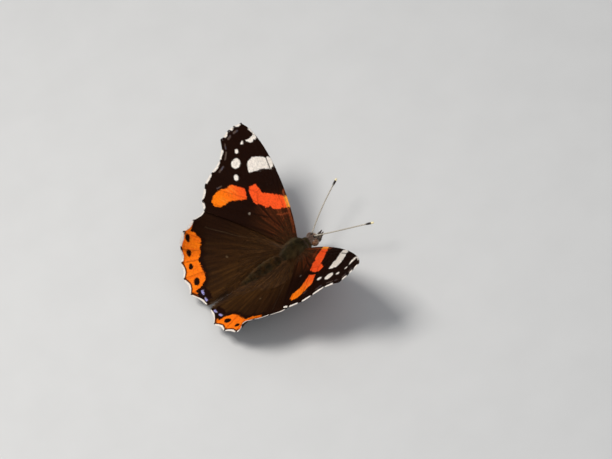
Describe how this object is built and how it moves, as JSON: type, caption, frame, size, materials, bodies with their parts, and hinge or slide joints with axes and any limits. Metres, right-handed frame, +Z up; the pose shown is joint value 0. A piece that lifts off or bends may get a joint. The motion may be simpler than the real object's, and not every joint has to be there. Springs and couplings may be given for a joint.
{
  "type": "red admiral butterfly",
  "caption": "Life-size still model of a red admiral butterfly standing with its wings held in a shallow V, dark wings with orange-red bands and white spots.",
  "frame": {"origin": "centre of the model's footprint box, on the floor under the feet", "axes": "+Z up, the head faces -Y, the butterfly's own left is +X and its right is -X"},
  "size_m": [0.0586, 0.0444, 0.0231],
  "materials": {
    "body_hair": "dense short hair, dark olive brown",
    "forewing_scales": "matt overlapping scales, brown-black with a red-orange band and white spots",
    "hindwing_scales": "matt overlapping scales, dark brown with an orange border",
    "eye": "glossy facets, dark reddish brown",
    "antenna": "dark horn ringed with pale scales, cream tip",
    "leg": "satin horn under fine brown scales",
    "tongue": "satin brown horn"
  },
  "bodies": {
    "root": {"head": "body_hair", "thorax": "body_hair", "abdomen": "body_hair", "palp_left": "body_hair", "palp_right": "body_hair", "foreleg_left": "body_hair", "foreleg_right": "body_hair", "eye_left": "eye", "eye_right": "eye", "proboscis": "tongue", "antenna_left": "antenna", "antenna_right": "antenna", "forewing_left": "forewing_scales", "forewing_right": "forewing_scales", "hindwing_left": "hindwing_scales", "hindwing_right": "hindwing_scales", "mid_leg_left_femur": "leg", "mid_leg_left_tibia": "leg", "mid_leg_left_tarsus": "leg", "mid_leg_right_femur": "leg", "mid_leg_right_tibia": "leg", "mid_leg_right_tarsus": "leg", "hind_leg_left_femur": "leg", "hind_leg_left_tibia": "leg", "hind_leg_left_tarsus": "leg", "hind_leg_right_femur": "leg", "hind_leg_right_tibia": "leg", "hind_leg_right_tarsus": "leg"}
  },
  "joints": []
}
